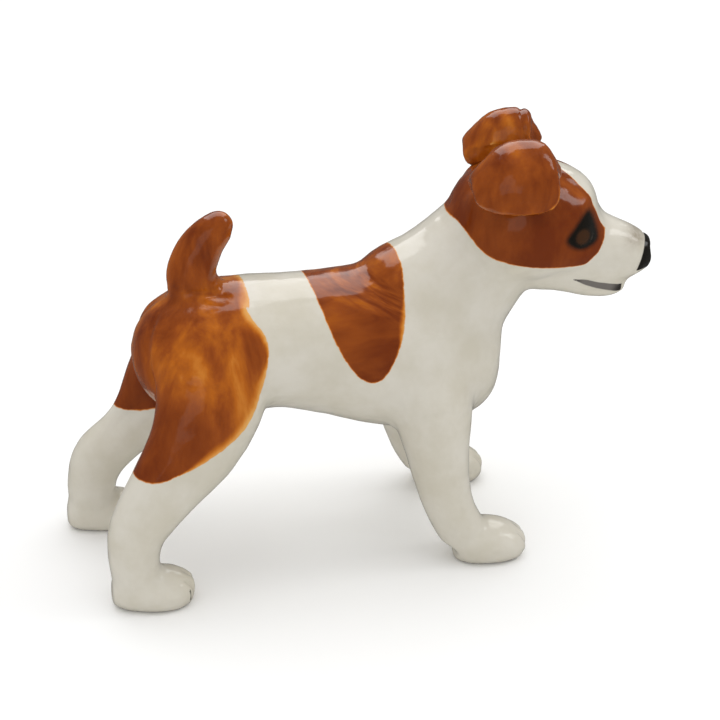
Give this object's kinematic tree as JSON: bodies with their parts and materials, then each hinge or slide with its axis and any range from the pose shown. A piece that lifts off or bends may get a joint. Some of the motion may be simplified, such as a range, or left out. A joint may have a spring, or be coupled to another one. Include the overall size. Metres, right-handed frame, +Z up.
{
  "type": "ceramic dog figurine",
  "caption": "Glazed ceramic terrier standing square with its head turned, folded ears and a short upright tail; rests on flat paw soles.",
  "frame": {"origin": "on the surface the paws stand on, under the middle of the box round the dog", "axes": "+X towards the nose, +Y the dog's left, +Z up"},
  "size_m": [0.0596, 0.0226, 0.044],
  "materials": {
    "white_glaze": "glossy warm white glaze",
    "brown_glaze": "glossy brushed red-brown glaze with amber edges"
  },
  "bodies": {
    "root": {"torso": "white_glaze", "head": "white_glaze", "right_ear": "brown_glaze", "left_ear": "brown_glaze", "tail": "brown_glaze", "right_foreleg": "white_glaze", "left_foreleg": "white_glaze", "right_hind_leg": "white_glaze", "left_hind_leg": "white_glaze"}
  },
  "joints": []
}
